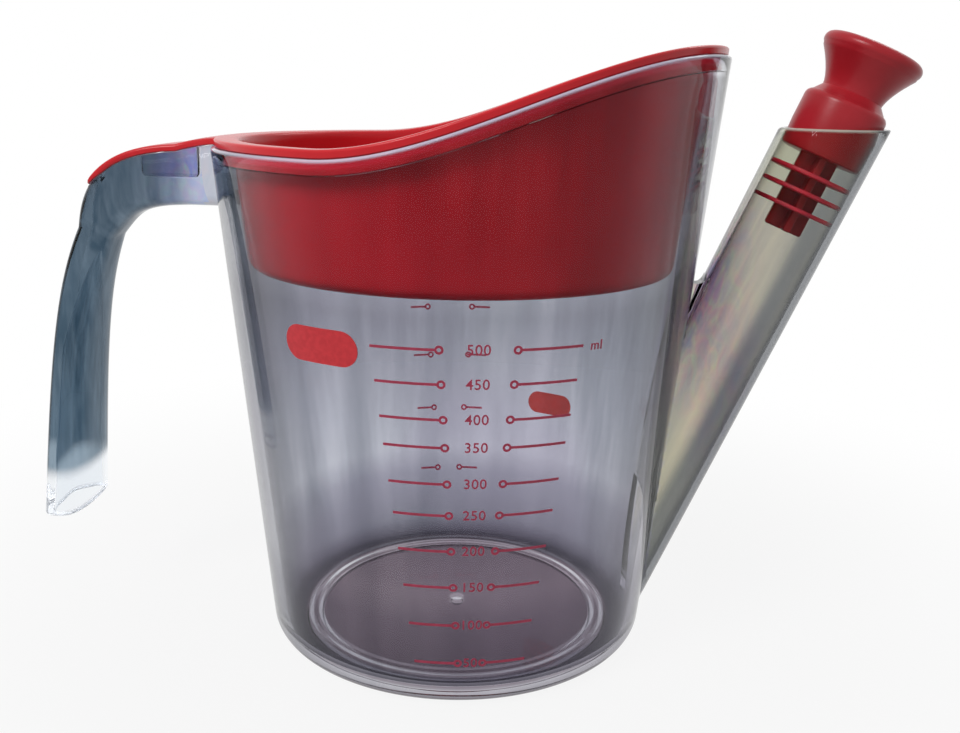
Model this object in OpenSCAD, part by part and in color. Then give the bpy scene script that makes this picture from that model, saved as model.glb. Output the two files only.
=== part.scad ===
// Gravy fat separator: a clear measuring jug whose spout starts at the floor,
// a lift-off strainer lid on the slanted rim, and a stopper in the spout.
// Millimetres. The origin is the jug's axis where it stands, +Z is up,
// +X points to the spout, -X to the handle and -Y to the millilitre scale.

/* [Jug wall] */
// Outer radius of the wall, carried straight down to the table
base_radius = 43.4; // [41:0.1:46]
// Outward lean of the wall, in degrees
wall_lean = 5.4; // [4:0.1:6.5]
// Thickness of the wall, measured level
wall = 2.4; // [2:0.1:2.8]
// Thickness of the floor
floor_thickness = 2.4; // [1.8:0.1:3.2]
// Radius of the outer corner round the base
base_fillet = 4.4; // [3.5:0.1:6]
// Radius of the inner corner round the floor
floor_fillet = 3.4; // [2:0.1:4.5]
// Outer radius of the foot ring
foot_radius = 36; // [32:0.5:37]
// Width of the foot ring
foot_width = 3.5; // [2:0.1:6]
// Hollow under the floor, inside the foot ring
foot_recess = 1.2; // [0.8:0.1:2]
// Step from the foot ring up to the rounded corner
foot_step = 0.5; // [0.3:0.1:0.8]
// Radius of the moulding gate mark under the floor
gate_radius = 1.5; // [1:0.1:3]
// Height of the gate mark
gate_height = 0.5; // [0.3:0.1:0.7]

/* [Rim] */
// Height of the clear rim over the handle
rim_low = 111.2; // [105:0.1:115]
// Height of the clear rim over the spout
rim_high = 131.2; // [125:0.1:135]
// Where along X the rim starts to rise
rim_rise_start = -25; // [-31:0.5:-20]
// Length along X over which the rim rises
rim_rise_length = 78.5; // [70:0.5:82]
// Depth of the step inside the rim that takes the lid's shoulder
rim_band = 3; // [2:0.1:5]
// Width of that step
rim_ledge = 0.9; // [0.6:0.1:1.2]

/* [Spout] */
// Where the spout's axis meets the table, along X
spout_foot_x = 30.4; // [28:0.1:32]
// Tilt of the spout from upright, in degrees
spout_tilt = 22.7; // [21.5:0.1:24]
// Outer radius of the spout tube
spout_radius = 10.6; // [10.2:0.05:11.2]
// Wall of the spout tube
spout_wall = 1.4; // [1.2:0.05:1.9]
// Height of the level cut at the spout's mouth
mouth_height = 117.2; // [110:0.1:121]
// Height of the port between the vessel and the spout
port_top = 34; // [24:0.5:38]
// Height of the web between the vessel and the spout
crotch_height = 83; // [78:0.5:86]
// Width of the web
web_width = 4; // [3:0.1:6]

/* [Handle] */
// Depth of the handle's arm past the rim, with the tongue on it
arm_depth = 13.7; // [12:0.1:15.5]
// Width of the arm where it meets the wall
arm_root_width = 22; // [20:0.5:28]
// Width of the arm past its gussets
arm_width = 20; // [17:0.5:23]
// Distance from the wall to the start of the bend
arm_reach = 7; // [5:0.5:9]
// Reach from the wall to the centre of the grip's lower end
grip_reach = 40; // [36:0.1:44]
// Thickness of the grip at its lower end
grip_thickness = 9.9; // [9:0.1:12]
// Width of the grip at its lower end
grip_width = 23.5; // [20:0.5:27]
// Thickness of the handle where it is slimmest, under the bend
neck_thickness = 7.9; // [7.4:0.1:9]
// Width of the handle there
neck_width = 16; // [14:0.5:18]
// Height of the grip's open lower end
grip_end_height = 25.2; // [20:0.1:32]
// Wall of the hollow grip
grip_wall = 2.1; // [1.6:0.1:2.5]
// Width of the open channel in the top of the arm
channel_width = 9; // [6:0.5:11]
// Depth of the channel
channel_depth = 6; // [3:0.1:8]
// Distance from the wall to the channel
channel_start = 4; // [3:0.5:5]
// Length of the channel along the arm
channel_length = 13; // [8:0.5:14]

/* [Strainer lid] */
// Gap between the rim and the lid band that lies on it
lid_seat_gap = 0.15; // [0.1:0.05:0.4]
// Thickness of the lid band
band_thickness = 1.6; // [1.3:0.1:2.5]
// How far the band's edge stays inside the jug's outer face
band_setback = 0.9; // [0.5:0.1:1.4]
// Side clearance of the lid's shoulder in the rim
shoulder_fit = 0.1; // [0.05:0.05:0.2]
// Height of the strainer bowl's underside
bowl_bottom = 86.4; // [83:0.1:92]
// Gap between the bowl's wall and the vessel's, at the bowl's underside
bowl_gap = 2.3; // [1.8:0.1:4]
// Outward lean of the bowl's wall, in degrees
bowl_lean = 6.4; // [5.4:0.1:7.2]
// Wall of the bowl
bowl_wall = 1.8; // [1.4:0.1:2.2]
// Outer radius of the bowl's bottom corner
bowl_fillet = 2.5; // [2.2:0.1:4]
// Thickness of the strainer plate
plate_thickness = 1.6; // [1.2:0.1:2.1]
// Radius of one strainer hole
hole_radius = 1.6; // [1:0.1:1.9]
// Distance from one ring of strainer holes to the next
hole_spacing = 6; // [5:0.1:8]

/* [Tongue] */
// Width of the tongue where it leaves the lid band
tongue_root_width = 23; // [20:0.5:30]
// Width of the tongue over the arm
tongue_width = 17; // [14:0.5:19]
// Width of the tongue at its tip
tongue_tip_width = 13.5; // [10:0.5:15]
// How far round the handle's bend the tongue reaches, as a share
tongue_end = 0.62; // [0.4:0.02:0.8]
// Gap between the tongue and the handle
tongue_gap = 0.2; // [0.1:0.05:0.4]

/* [Stopper] */
// Gap between the spout's bore and the plug and fins
stopper_fit = 0.06; // [0.03:0.01:0.1]
// Distance along the spout's axis from the table to the plug's lower face
plug_bottom = 120.1; // [116:0.1:122]
// Length of the plug up to its shoulder
plug_length = 11.1; // [9:0.1:13]
// Narrowing of the plug's radius towards its lower face
plug_taper = 0.3; // [0.1:0.1:0.8]
// Radius of the neck between plug and grip
neck_radius = 6.6; // [5:0.1:8]
// Length of the grip above the shoulder
grip_rise = 13.5; // [12:0.1:17]
// Radius of the flared grip
flare_radius = 10.8; // [10:0.1:13]
// Thickness of the grip's rounded edge
flare_edge = 3; // [2:0.1:4]
// Length of the crossed stem below the plug
stem_length = 16.8; // [15:0.1:21]
// Width of the crossed stem
stem_width = 8.5; // [6:0.1:11]
// Thickness of each stem rib
stem_rib = 1.8; // [1.2:0.1:2.6]
// Distance from the plug to the first fin
fin_start = 4.1; // [3:0.1:6]
// Distance from fin to fin
fin_spacing = 3.8; // [2.5:0.1:4.5]
// Thickness of a fin
fin_thickness = 0.9; // [0.6:0.1:1.4]
// Number of fins
fin_count = 3; // [2:1:4]

/* [Prints] */
// Turn of all the prints round the jug, away from its middle plane
print_turn = 7.7; // [-12:0.1:12]
// Thickness of the printed ink
ink_thickness = 0.12; // [0.08:0.02:0.2]
// Width of a printed line
line_width = 0.5; // [0.3:0.05:0.8]
// Outer radius of the small rings on the lines
ring_radius = 0.85; // [0.6:0.05:1.1]
// Width of the ink in a ring
ring_ink = 0.45; // [0.3:0.05:0.55]
// Height of the highest scale line
scale_top = 78.3; // [72:0.1:81]
// Distance from the scale's middle to a ring, on the highest line
ring_offset_top = 7.2; // [6:0.1:9]
// Distance from the scale's middle to a ring, on the lowest line
ring_offset_low = 2.5; // [1.5:0.1:4]
// Distance from the scale's middle to a line's end, on the highest line
line_end_top = 20.2; // [16:0.1:22]
// Distance from the scale's middle to a line's end, on the lowest line
line_end_low = 11.3; // [8:0.1:13]
// Length of the lines of the back scale
back_line_length = 5; // [3:0.1:8]
// Width of the front label
front_label_width = 16.8; // [12:0.1:18]
// Height of the front label
front_label_height = 7; // [4:0.1:7.5]
// Angle of the front label's middle, from +X before the turn
front_label_angle = 234.9; // [228:0.1:238]
// Height of the front label's middle
front_label_z = 76.9; // [70:0.1:79]
// Width of the back label
back_label_width = 13.4; // [10:0.1:16]
// Height of the back label
back_label_height = 5.8; // [4:0.1:7]
// Angle of the back label's middle, from +X before the turn
back_label_angle = 54; // [43:0.1:63]
// Height of the back label's middle
back_label_z = 41; // [36:0.1:50]

/* [Hidden] */
$fn = 128;

arc_steps = 8;         // straight runs in a small rounded corner
rim_run = 2.5;         // length along X of one run of the rim curve
overshoot = 1;         // how far a cut runs past what it cuts
hair = 0.02;           // gap between the ink and the wall
span = 140;            // longer than any piece, for cuts that go right through
top_z = rim_high + 10; // height to which full cones are drawn before the rim cuts them
wall_slope = tan(wall_lean);
floor_top = foot_recess + floor_thickness;
bore_radius = spout_radius - spout_wall;
stopper_radius = bore_radius - stopper_fit;
bowl_slope = tan(bowl_lean);
bowl_radius = inner_radius(bowl_bottom) - bowl_gap; // outer radius, carried down to the underside
front_angle = 270;     // the millilitre scale's middle before the turn, from +X
back_angle = 90;       // the back scale's middle before the turn

// Heights of the millilitre lines as shares of the highest one: 50 to 500 ml in steps of 50.
ml_line_share = [0.146, 0.26, 0.371, 0.474, 0.573, 0.658, 0.754, 0.826, 0.915, 1];
back_line_share = [0.26, 0.48, 0.67, 0.84, 1];

// Radii of the jug's wall at a height.
function wall_radius(z) = base_radius + z * wall_slope;
function inner_radius(z) = wall_radius(z) - wall;
function bowl_wall_radius(z) = bowl_radius + (z - bowl_bottom) * bowl_slope;

// The rim's S-curve: level, a smooth rise, level again.
function clamp01(u) = min(1, max(0, u));
function smooth_step(u) = u * u * (3 - 2 * u);
function rim_share(x) = smooth_step(clamp01((x - rim_rise_start) / rim_rise_length));
function rim_height(x) = rim_low + (rim_high - rim_low) * rim_share(x);

function arc_points(centre, radius, from, to) =
    [for (i = [0 : arc_steps])
        let (a = from + (to - from) * i / arc_steps)
        centre + radius * [cos(a), sin(a)]];

// Centre of an arc that rounds the corner between a level face and a leaning wall.
function corner_centre(radius_at_table, slope, lean, level, fillet) =
    [radius_at_table + (level + fillet) * slope - fillet / cos(lean), level + fillet];

function base_corner() = arc_points(
    corner_centre(base_radius, wall_slope, wall_lean, foot_step, base_fillet), base_fillet, -90, -wall_lean);
function floor_corner() = arc_points(
    corner_centre(base_radius - wall, wall_slope, wall_lean, floor_top, floor_fillet), floor_fillet,
    -90, -wall_lean);

// A cubic curve through its first and last control points.
function bezier(p, t) =
    pow(1 - t, 3) * p[0] + 3 * t * pow(1 - t, 2) * p[1] + 3 * t * t * (1 - t) * p[2] + pow(t, 3) * p[3];

// ---- Shapes that several pieces share ----

// Everything under the rim's S-curve, shifted by lift.
module below_rim(lift) {
    curve = [for (x = [-span : rim_run : span]) [x, rim_height(x) + lift]];
    rotate([90, 0, 0])
        linear_extrude(2 * span, center = true)
            polygon(concat([[span, -overshoot], [-span, -overshoot]], curve));
}

module jug_outside() {
    rotate_extrude()
        polygon(concat([[0, foot_step]], base_corner(), [[wall_radius(top_z), top_z], [0, top_z]]));
}

module cone_between(low, high, low_radius, high_radius) {
    translate([0, 0, low])
        cylinder(r1 = low_radius, r2 = high_radius, h = high - low);
}

// Places its children with their Z along the spout's axis and their origin at the table.
module along_spout() {
    translate([spout_foot_x, 0, 0])
        rotate([0, spout_tilt, 0])
            children();
}

module spout_bore() {
    along_spout()
        translate([0, 0, -span])
            cylinder(r = bore_radius, h = 3 * span);
}

// ---- Jug ----

module vessel() {
    foot_inner = foot_radius - foot_width;
    ledge_low = rim_low - rim_band - overshoot;
    color("lightsteelblue", 0.5) {
        difference() {
            intersection() {
                rotate_extrude()
                    polygon(concat(
                        [[0, foot_recess], [foot_inner, foot_recess], [foot_inner, 0], [foot_radius, 0],
                            [foot_radius, foot_step]],
                        base_corner(),
                        [[wall_radius(top_z), top_z], [inner_radius(top_z), top_z]],
                        [for (i = [arc_steps : -1 : 0]) floor_corner()[i]],
                        [[0, floor_top]]));
                below_rim(0);
            }
            difference() {
                cone_between(ledge_low, top_z + overshoot, inner_radius(ledge_low) + rim_ledge,
                    inner_radius(top_z + overshoot) + rim_ledge);
                below_rim(-rim_band);
            }
            intersection() {
                spout_bore();
                translate([0, -span / 2, floor_top])
                    cube([span, span, port_top - floor_top]);
            }
        }
        translate([0, 0, foot_recess - gate_height])
            cylinder(r = gate_radius, h = gate_height);
    }
}

module spout() {
    // The tube runs out into the wall above the base's rounded corner.
    run_out = foot_step + 0.7 * base_fillet;
    tilt_slope = tan(spout_tilt);
    tube_left = spout_foot_x - spout_radius / cos(spout_tilt);
    // Where the tube's near side leaves the wall.
    parting = (base_radius - tube_left) / (tilt_slope - wall_slope);
    web_low = parting - 2 * web_width;
    color("lightsteelblue", 0.5)
        difference() {
            union() {
                intersection() {
                    along_spout()
                        translate([0, 0, -span])
                            cylinder(r = spout_radius, h = 3 * span);
                    translate([0, -span / 2, run_out])
                        cube([span, span, mouth_height - run_out]);
                }
                rotate([90, 0, 0])
                    linear_extrude(web_width, center = true)
                        polygon([
                            [wall_radius(web_low) - overshoot, web_low],
                            [tube_left + web_low * tilt_slope + spout_wall, web_low],
                            [tube_left + crotch_height * tilt_slope + spout_wall, crotch_height],
                            [wall_radius(crotch_height) - overshoot, crotch_height]]);
            }
            spout_bore();
            jug_outside();
        }
}

// ---- Handle ----

handle_ring_points = 24;
section_power = 2.8;   // 2 is an ellipse, higher is closer to a rectangle
hollow_start = 0.12;   // where along the grip its hollow starts, as a share
tip_taper = 0.45;      // thickness left at the tongue's tip, as a share
band_top = rim_low + lid_seat_gap + band_thickness;
arm_low = rim_low - arm_depth;
arm_centre = rim_low - arm_depth / 2;
rim_radius = wall_radius(rim_low);
grip_drop = arm_centre - grip_end_height;

// Places control points given as [distance out from the wall, drop below the arm's middle, thickness, width].
function curve_points(list) = [for (p = list) [-rim_radius - p[0], arm_centre - p[1], p[2], p[3]]];

arm_end = [arm_reach, 0, arm_depth, arm_width];
neck = [0.705 * grip_reach, 0.166 * grip_drop, neck_thickness, neck_width];
arm_curve = curve_points([
    [-wall - 0.6, (rim_low - band_top) / 2, band_top - arm_low, arm_root_width],
    [0, (rim_low - band_top) / 2, band_top - arm_low, 0.95 * arm_root_width],
    [0.6 * arm_reach, -0.03 * arm_depth, 1.06 * arm_depth, arm_width],
    arm_end]);
bend_curve = curve_points([
    arm_end,
    [0.567 * grip_reach, 0.005 * grip_drop, 0.97 * arm_depth, 0.9 * arm_width],
    [0.63 * grip_reach, 0.077 * grip_drop, 0.93 * arm_depth, 1.03 * neck_width],
    neck]);
grip_curve = curve_points([
    neck,
    [0.838 * grip_reach, 0.322 * grip_drop, 1.115 * neck_thickness, 1.09 * neck_width],
    [0.898 * grip_reach, 0.49 * grip_drop, 0.8 * grip_thickness, 0.935 * grip_width],
    [grip_reach, 1.08 * grip_drop, grip_thickness, grip_width]]);

// Direction of a curve in the XZ plane at t.
function heading(p, t) =
    let (a = bezier(p, max(0, t - 0.01)), b = bezier(p, min(1, t + 0.01)), d = [b[0] - a[0], b[1] - a[1]])
    d / norm(d);

// A point in the XZ plane at a distance outwards from a curve's middle line.
function beside(p, t, out) =
    let (s = bezier(p, t), d = heading(p, t))
    [s[0] + d[1] * out, s[1] - d[0] * out];

function signed_power(v, e) = sign(v) * pow(abs(v), e);

// One rounded ring of points across the handle, drawn in by inset on every side.
function handle_ring(p, t, inset) =
    let (s = bezier(p, t), half_t = s[2] / 2 - inset, half_w = s[3] / 2 - inset)
    [for (i = [0 : handle_ring_points - 1])
        let (a = 360 * i / handle_ring_points,
            side = beside(p, t, half_t * signed_power(cos(a), 2 / section_power)))
        [side[0], half_w * signed_power(sin(a), 2 / section_power), side[1]]];

// A closed skin over a list of rings.
module skin(rings) {
    n = len(rings[0]);
    last = len(rings) - 1;
    sides = [for (j = [0 : last - 1]) for (i = [0 : n - 1])
        let (k = (i + 1) % n)
        each [[j * n + i, (j + 1) * n + i, j * n + k], [j * n + k, (j + 1) * n + i, (j + 1) * n + k]]];
    low_cap = [for (i = [0 : n - 1]) i];
    high_cap = [for (i = [n - 1 : -1 : 0]) last * n + i];
    polyhedron(points = [for (r = rings) each r], faces = concat(sides, [low_cap, high_cap]));
}

module handle_outside() {
    skin(concat(
        [for (i = [0 : 4]) handle_ring(arm_curve, i / 4, 0)],
        [for (i = [1 : 10]) handle_ring(bend_curve, i / 10, 0)],
        [for (i = [1 : 12]) handle_ring(grip_curve, i / 12, 0)]));
}

// The hollow, with a smaller first ring so that it starts rounded.
module grip_hollow() {
    skin(concat(
        [handle_ring(grip_curve, hollow_start, 1.6 * grip_wall)],
        [for (i = [0 : 10]) handle_ring(grip_curve, hollow_start + 0.02 + (0.98 - hollow_start) * i / 10, grip_wall)]));
}

// The tongue's side view, from the lid's band over the arm and down the bend, grown on its upper and lower side.
function tongue_outline(grow_up, grow_down, end) =
    let (stations = concat(
            [for (i = [0 : 4]) [arm_curve, i / 4, 1]],
            [for (i = [1 : 8]) [bend_curve, end * i / 8, i < 7 ? 1 : 1 - (1 - tip_taper) * (i - 6) / 2]]),
        over = [for (c = stations) beside(c[0], c[1], bezier(c[0], c[1])[2] / 2 + grow_up)],
        under = [for (c = stations)
            beside(c[0], c[1], bezier(c[0], c[1])[2] / 2 - band_thickness * c[2] - grow_down)])
    concat(over, [for (i = [len(under) - 1 : -1 : 0]) under[i]]);

module side_cut(outline) {
    rotate([90, 0, 0])
        linear_extrude(span, center = true)
            polygon(outline);
}

module handle() {
    channel_end = rim_radius + channel_start + channel_length;
    color("lightsteelblue", 0.5)
        difference() {
            handle_outside();
            grip_hollow();
            jug_outside();
            side_cut(tongue_outline(overshoot, tongue_gap, tongue_end + 0.02));
            translate([-span, -span / 2, -overshoot])
                cube([span, span, grip_end_height + overshoot]);
            translate([-channel_end, -channel_width / 2, rim_low - band_thickness - channel_depth])
                cube([channel_length, channel_width, span]);
        }
}

// ---- Prints on the jug ----

module ink_skin() {
    difference() {
        cone_between(floor_top, bowl_bottom, wall_radius(floor_top) + hair + ink_thickness,
            wall_radius(bowl_bottom) + hair + ink_thickness);
        cone_between(floor_top - overshoot, bowl_bottom + overshoot, wall_radius(floor_top - overshoot) + hair,
            wall_radius(bowl_bottom + overshoot) + hair);
    }
}

// The ink where its children, pushed through the wall, meet it.
module printed() {
    rotate([0, 0, print_turn])
        intersection() {
            ink_skin();
            children();
        }
}

// Points its children, drawn flat, outwards through the wall at an angle and a height.
module through_wall(angle, z) {
    rotate([0, 0, angle])
        translate([0, 0, z])
            rotate([90, 0, 90])
                linear_extrude(span / 2)
                    children();
}

// One scale line with its ring, side is 1 or -1, distances are measured round the wall.
module scale_line(middle, side, z, ring_at, end_at) {
    per_mm = 180 / PI / wall_radius(z);
    start = ring_at + ring_radius - ring_ink / 2;
    through_wall(middle + side * ring_at * per_mm, z)
        difference() {
            circle(ring_radius, $fn = 32);
            circle(ring_radius - ring_ink, $fn = 32);
        }
    through_wall(middle + side * (start + end_at) / 2 * per_mm, z)
        square([end_at - start, line_width], center = true);
}

module lozenge(width, height) {
    square([width - height, height], center = true);
    for (side = [-1, 1])
        translate([side * (width - height) / 2, 0])
            circle(height / 2, $fn = 48);
}

// A distance on the highest line and on the lowest line, taken in proportion at a share between them.
function spread(low, high, share) =
    low + (high - low) * (share - ml_line_share[0]) / (1 - ml_line_share[0]);

module ml_scale_print() {
    color("crimson")
        printed()
            for (share = ml_line_share, side = [-1, 1])
                scale_line(front_angle, side, share * scale_top,
                    spread(ring_offset_low, ring_offset_top, share),
                    spread(line_end_low, line_end_top, share));
}

module back_scale_print() {
    color("crimson")
        printed()
            for (share = back_line_share, side = [-1, 1]) {
                ring_at = spread(ring_offset_low, ring_offset_top, share);
                scale_line(back_angle, side, share * scale_top, ring_at, ring_at + back_line_length);
            }
}

module front_label_print() {
    color("orangered")
        printed()
            through_wall(front_label_angle, front_label_z)
                lozenge(front_label_width, front_label_height);
}

module back_label_print() {
    color("orangered")
        printed()
            through_wall(back_label_angle, back_label_z)
                lozenge(back_label_width, back_label_height);
}

// ---- Strainer lid ----

// The bowl's inside, as a solid that runs out through the top.
module bowl_inside(low) {
    cone_between(low, top_z + 2 * overshoot, bowl_wall_radius(low) - bowl_wall,
        bowl_wall_radius(top_z + 2 * overshoot) - bowl_wall);
}

// Half of the tongue's outline seen from above, from the band to the tip.
function tongue_side() =
    let (start = -rim_radius + band_setback + wall,
        root_end = -rim_radius - 0.86 * arm_reach,
        tip = beside(bend_curve, tongue_end, bezier(bend_curve, tongue_end)[2] / 2)[0],
        round_from = tip + tongue_tip_width / 4)
    concat(
        [for (i = [0 : arc_steps])
            let (u = i / arc_steps)
            [start + (root_end - start) * u,
                (tongue_root_width + (tongue_width - tongue_root_width) * smooth_step(u)) / 2]],
        arc_points([round_from, tongue_tip_width / 4], tongue_tip_width / 4, 90, 180));

module tongue() {
    side = tongue_side();
    difference() {
        intersection() {
            side_cut(tongue_outline(0, 0, tongue_end));
            linear_extrude(span)
                polygon(concat(side, [for (i = [len(side) - 1 : -1 : 0]) [side[i][0], -side[i][1]]]));
        }
        // Room for the jug's rim under the tongue.
        intersection() {
            cone_between(arm_low, top_z, wall_radius(arm_low) + tongue_gap, wall_radius(top_z) + tongue_gap);
            below_rim(lid_seat_gap);
        }
    }
}

module lid_band() {
    shoulder_low = rim_low - rim_band - overshoot;
    shoulder_grow = rim_ledge - shoulder_fit - wall;
    color("crimson")
        difference() {
            union() {
                difference() {
                    intersection() {
                        cone_between(shoulder_low, top_z, wall_radius(shoulder_low) - band_setback,
                            wall_radius(top_z) - band_setback);
                        below_rim(lid_seat_gap + band_thickness);
                    }
                    below_rim(lid_seat_gap);
                }
                difference() {
                    intersection() {
                        cone_between(shoulder_low, top_z, wall_radius(shoulder_low) + shoulder_grow,
                            wall_radius(top_z) + shoulder_grow);
                        below_rim(lid_seat_gap);
                    }
                    below_rim(lid_seat_gap - rim_band);
                }
                tongue();
            }
            bowl_inside(shoulder_low - overshoot);
        }
}

module strainer_bowl() {
    plate_edge = bowl_radius - bowl_fillet;
    color("firebrick")
        difference() {
            intersection() {
                rotate_extrude()
                    polygon(concat(
                        [[0, bowl_bottom]],
                        arc_points(
                            corner_centre(bowl_radius - bowl_bottom * bowl_slope, bowl_slope, bowl_lean,
                                bowl_bottom, bowl_fillet),
                            bowl_fillet, -90, -bowl_lean),
                        [[bowl_wall_radius(top_z), top_z], [0, top_z]]));
                below_rim(lid_seat_gap - rim_band);
            }
            bowl_inside(bowl_bottom + plate_thickness);
            translate([0, 0, bowl_bottom - overshoot])
                cylinder(r = plate_edge - bowl_wall, h = plate_thickness + 2 * overshoot);
        }
}

module strainer_plate() {
    plate_radius = bowl_radius - bowl_fillet - bowl_wall;
    rings = floor((plate_radius - 2 * hole_radius) / hole_spacing);
    color("firebrick")
        difference() {
            translate([0, 0, bowl_bottom])
                cylinder(r = plate_radius, h = plate_thickness);
            translate([0, 0, bowl_bottom - overshoot])
                for (ring = [0 : rings])
                    for (i = [0 : max(1, 6 * ring) - 1])
                        rotate([0, 0, 360 * i / max(1, 6 * ring)])
                            translate([ring * hole_spacing, 0, 0])
                                cylinder(r = hole_radius, h = plate_thickness + 2 * overshoot, $fn = 24);
        }
}

// ---- Stopper ----

module stopper_grip() {
    shoulder = plug_bottom + plug_length;
    top = shoulder + grip_rise;
    corner = 0.5;
    bulge = 1.6;           // radius of the rounded ring over the plug
    waist = shoulder + 2 * bulge;
    edge_low = top - flare_edge;
    color("crimson")
        along_spout()
            rotate_extrude()
                polygon(concat(
                    [[0, plug_bottom], [stopper_radius - plug_taper - corner, plug_bottom],
                        [stopper_radius - plug_taper, plug_bottom + corner],
                        [stopper_radius, plug_bottom + plug_length / 2], [stopper_radius, shoulder]],
                    arc_points([stopper_radius - bulge, shoulder], bulge, 10, 70),
                    [for (i = [0 : arc_steps])
                        let (u = i / arc_steps)
                        [neck_radius + (flare_radius - corner - neck_radius) * pow(u, 1.5),
                            waist + (edge_low - waist) * u]],
                    arc_points([flare_radius - flare_edge / 2, top - flare_edge / 2], flare_edge / 2, -40, 85),
                    [[0, top - corner]]));
}

module stem_cross(grow) {
    for (turn = [0, 90])
        rotate([0, 0, turn])
            translate([-stem_width / 2, -stem_rib / 2, plug_bottom - stem_length - grow])
                cube([stem_width, stem_rib, stem_length + grow]);
}

module stopper_stem() {
    color("crimson")
        along_spout()
            stem_cross(0);
}

module stopper_fins() {
    color("crimson")
        along_spout()
            difference() {
                for (i = [0 : fin_count - 1])
                    translate([0, 0, plug_bottom - fin_start - i * fin_spacing - fin_thickness / 2])
                        cylinder(r = stopper_radius, h = fin_thickness);
                stem_cross(overshoot);
            }
}

vessel();
spout();
handle();
ml_scale_print();
front_label_print();
back_scale_print();
back_label_print();
lid_band();
strainer_bowl();
strainer_plate();
stopper_grip();
stopper_stem();
stopper_fins();
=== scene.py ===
import math
import bmesh
import bpy
import numpy as np
from mathutils import Matrix, Vector


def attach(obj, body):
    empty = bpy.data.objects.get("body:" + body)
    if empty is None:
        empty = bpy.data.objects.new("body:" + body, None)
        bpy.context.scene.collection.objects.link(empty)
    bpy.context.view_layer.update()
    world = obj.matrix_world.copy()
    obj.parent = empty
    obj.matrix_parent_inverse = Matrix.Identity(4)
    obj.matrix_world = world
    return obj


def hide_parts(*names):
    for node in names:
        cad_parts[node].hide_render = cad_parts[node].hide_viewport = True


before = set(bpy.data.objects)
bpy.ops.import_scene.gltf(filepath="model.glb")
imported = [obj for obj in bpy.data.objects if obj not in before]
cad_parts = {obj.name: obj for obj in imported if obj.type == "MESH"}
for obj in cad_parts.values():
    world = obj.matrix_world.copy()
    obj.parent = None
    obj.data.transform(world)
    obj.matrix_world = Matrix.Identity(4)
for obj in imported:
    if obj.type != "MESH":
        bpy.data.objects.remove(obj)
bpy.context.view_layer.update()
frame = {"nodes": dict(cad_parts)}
print("frame loaded")

mm = 0.001
softTurn = 38       # degrees, an edge that turns less is shaded round
jugTurn = 30        # the same, for the finished jug


def srgb(hexColour):
    # sRGB hex to the linear colour that the shader sockets take
    channels = [int(hexColour[i:i + 2], 16) / 255 for i in (1, 3, 5)]
    linear = [c / 12.92 if c <= 0.04045 else ((c + 0.055) / 1.055) ** 2.4 for c in channels]
    return (*linear, 1.0)


def addNode(tree, kind, settings=None):
    # one node; a setting is an attribute, the steps of a ramp, or an input by its name or place,
    # and an input takes a value, a hex colour, or the result of another node
    node = tree.nodes.new(kind)
    for name, value in (settings or {}).items():
        if isinstance(value, bpy.types.Node):
            value = next(socket for socket in value.outputs if socket.enabled)
        if isinstance(value, bpy.types.NodeSocket):
            tree.links.new(value, node.inputs[name])
        elif name == "steps":
            ramp = node.color_ramp.elements
            while len(ramp) < len(value):
                ramp.new(1.0)
            for element, (place, colour) in zip(ramp, value):
                element.position, element.color = place, srgb(colour)
        elif isinstance(name, int) or name in node.inputs:
            node.inputs[name].default_value = srgb(value) if isinstance(value, str) else value
        else:
            setattr(node, name, value)
    return node


def newMaterial(name):
    material = bpy.data.materials.new(name)
    material.use_nodes = True
    material.node_tree.nodes.clear()
    return material, material.node_tree


def finishObject(name, mesh, sharpAngle=softTurn):
    bm = bmesh.new()
    bm.from_mesh(mesh)
    bmesh.ops.remove_doubles(bm, verts=bm.verts, dist=1e-7)
    bmesh.ops.recalc_face_normals(bm, faces=bm.faces)
    bm.to_mesh(mesh)
    bm.free()
    mesh.shade_smooth()
    mesh.set_sharp_from_angle(angle=math.radians(sharpAngle))
    obj = bpy.data.objects.new(name, mesh)
    bpy.context.scene.collection.objects.link(obj)
    return obj


def skin(name, rings, closed=False):
    # a solid over rings of points in millimetres, capped at both ends unless the rings close on themselves
    rings = np.array(rings, float)
    count, n = rings.shape[:2]
    faces = []
    for j in range(count if closed else count - 1):
        a, b = j * n, (j + 1) % count * n
        faces += [(a + i, a + (i + 1) % n, b + (i + 1) % n, b + i) for i in range(n)]
    if not closed:
        faces += [tuple(range(n - 1, -1, -1)), tuple(range((count - 1) * n, count * n))]
    mesh = bpy.data.meshes.new(name)
    mesh.from_pydata((rings.reshape(-1, 3) * mm).tolist(), [], faces)
    return finishObject(name, mesh)


def combine(obj, tool, operation, sharpAngle=softTurn):
    # boolean with the exact solver, then the tool is thrown away
    modifier = obj.modifiers.new("cut", "BOOLEAN")
    modifier.operation, modifier.solver, modifier.object = operation, "EXACT", tool
    mesh = bpy.data.meshes.new_from_object(obj.evaluated_get(bpy.context.evaluated_depsgraph_get()))
    name = obj.name
    bpy.data.objects.remove(obj)
    bpy.data.objects.remove(tool)
    return finishObject(name, mesh, sharpAngle)


def arc(centre, radius, start, end, steps):
    angles = np.radians(np.linspace(start, end, steps + 1))
    return [(centre[0] + radius * math.cos(a), centre[1] + radius * math.sin(a)) for a in angles]


def smoothStep(u):
    u = np.clip(u, 0, 1)
    return u * u * (3 - 2 * u)


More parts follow.
